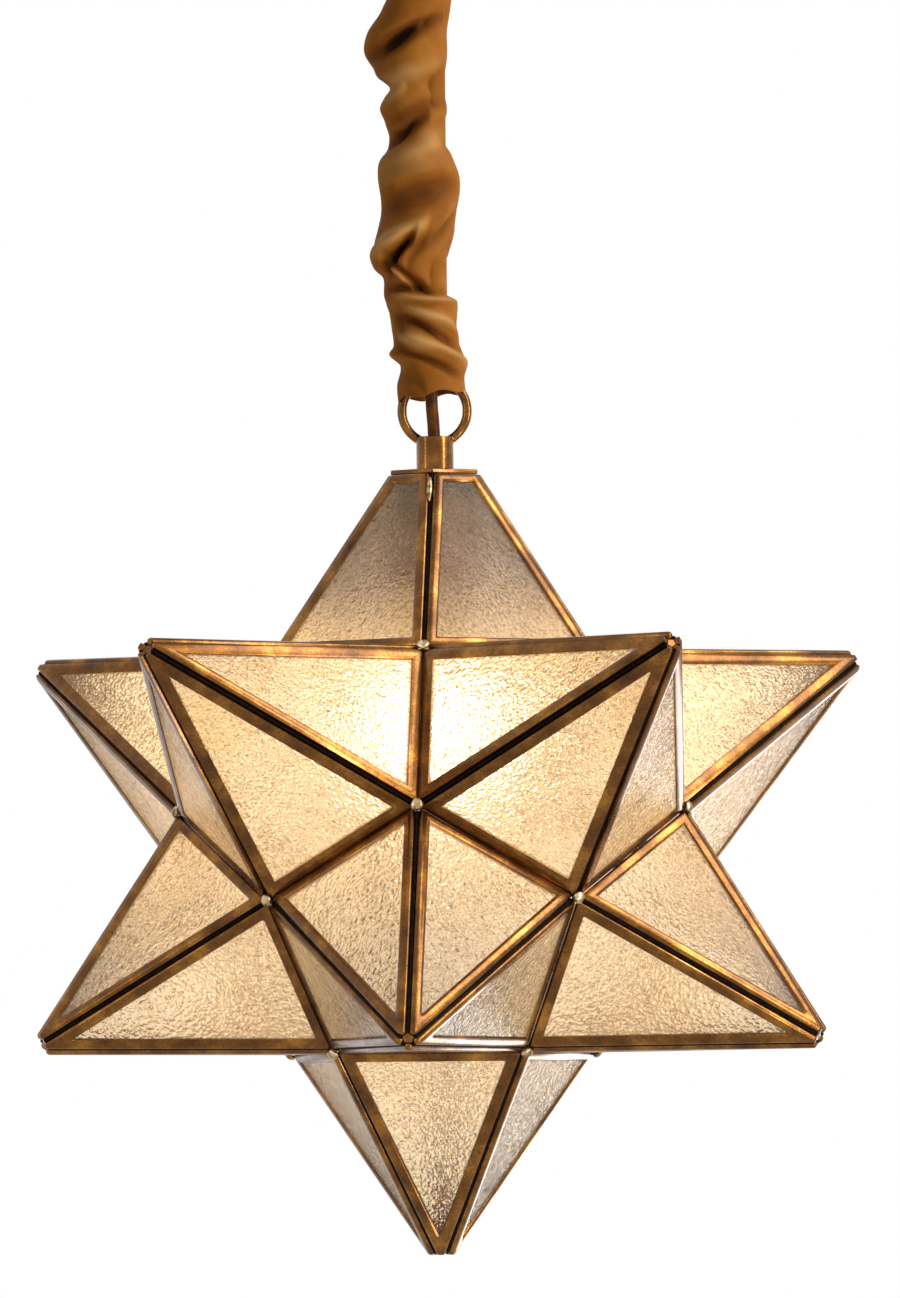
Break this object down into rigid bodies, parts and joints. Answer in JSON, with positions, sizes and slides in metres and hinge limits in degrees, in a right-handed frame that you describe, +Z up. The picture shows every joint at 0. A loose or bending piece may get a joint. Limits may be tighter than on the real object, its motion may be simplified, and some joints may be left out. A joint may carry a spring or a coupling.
{
  "type": "moravian star pendant lamp",
  "caption": "Many-pointed glass star lamp in brass channel frames, hung by a ring, a chain in a cloth sleeve and a ceiling canopy, with one point that opens.",
  "frame": {"origin": "middle of the ceiling plane, on the axis of the canopy", "axes": "+Z up into the ceiling, -Y towards the viewer, +X to the viewer's right"},
  "size_m": [0.3618, 0.3671, 0.6177],
  "materials": {
    "antique_brass": "antique, satin",
    "amber_glass": "hammered",
    "solder": "plated solder",
    "zinc_steel": "zinc",
    "holder_resin": "matte",
    "bulb_metal": "bright",
    "lit_bulb": "frosted, lit",
    "cord_jacket": "gold-brown",
    "sleeve_cloth": "satin weave"
  },
  "bodies": {
    "canopy": {"canopy_dish": "antique_brass", "canopy_loop": "antique_brass", "canopy_nipple": "zinc_steel", "canopy_locknut": "zinc_steel", "crossbar": "zinc_steel", "canopy_screws": "antique_brass"},
    "top_link": {"top_link": "antique_brass"},
    "chain": {"chain_links": "antique_brass", "power_cord": "cord_jacket", "fabric_sleeve": "sleeve_cloth"},
    "bottom_link": {"bottom_link": "antique_brass"},
    "star": {"point_top_frame": "antique_brass", "point_top_glass": "amber_glass", "point_bottom_frame": "antique_brass", "point_bottom_glass": "amber_glass", "point_high_front_right_frame": "antique_brass", "point_high_front_right_glass": "amber_glass", "point_high_right_frame": "antique_brass", "point_high_right_glass": "amber_glass", "point_high_left_frame": "antique_brass", "point_high_left_glass": "amber_glass", "point_high_front_left_frame": "antique_brass", "point_high_front_left_glass": "amber_glass", "point_low_front_frame": "antique_brass", "point_low_front_glass": "amber_glass", "point_low_right_frame": "antique_brass", "point_low_right_glass": "amber_glass", "point_low_back_right_frame": "antique_brass", "point_low_back_right_glass": "amber_glass", "point_low_back_left_frame": "antique_brass", "point_low_back_left_glass": "amber_glass", "point_low_left_frame": "antique_brass", "point_low_left_glass": "amber_glass", "tip_plugs": "solder", "solder_beads": "solder", "hinge_fixed_knuckles": "antique_brass", "hinge_pin": "antique_brass", "top_cap": "antique_brass", "hanging_loop": "antique_brass", "nipple": "zinc_steel", "cap_strap": "zinc_steel", "cap_locknut": "zinc_steel", "lamp_holder": "holder_resin"},
    "door": {"door_frame": "antique_brass", "door_glass": "amber_glass", "door_tip_plug": "solder", "hinge_door_knuckle": "antique_brass"},
    "bulb": {"bulb_base": "bulb_metal", "bulb_glass": "lit_bulb"}
  },
  "joints": [
    {"name": "loop_swing", "type": "hinge", "parent": "canopy", "child": "top_link", "pos_m": [0, 0, -0.06495], "axis": [0.866, -0.5, 0], "range_deg": [-20, 20]},
    {"name": "chain_swing", "type": "hinge", "parent": "top_link", "child": "chain", "pos_m": [0, 0, -0.0935], "axis": [0.866, 0.5, 0], "range_deg": [-20, 20], "deforming": ["power_cord", "fabric_sleeve"]},
    {"name": "link_swing", "type": "hinge", "parent": "chain", "child": "bottom_link", "pos_m": [0, 0, -0.2121], "axis": [0.866, 0.5, 0], "range_deg": [-20, 20]},
    {"name": "star_swing", "type": "hinge", "parent": "bottom_link", "child": "star", "pos_m": [0, 0, -0.24175], "axis": [0.5, -0.866, 0], "range_deg": [-20, 20]},
    {"name": "door_hinge", "type": "hinge", "parent": "star", "child": "door", "pos_m": [0, 0.06131, -0.35415], "axis": [1, 0, 0], "range_deg": [0, 90]},
    {"name": "bulb_out", "type": "slide", "parent": "star", "child": "bulb", "axis": [0, 0, -1], "range_m": [0, 0.025]}
  ]
}
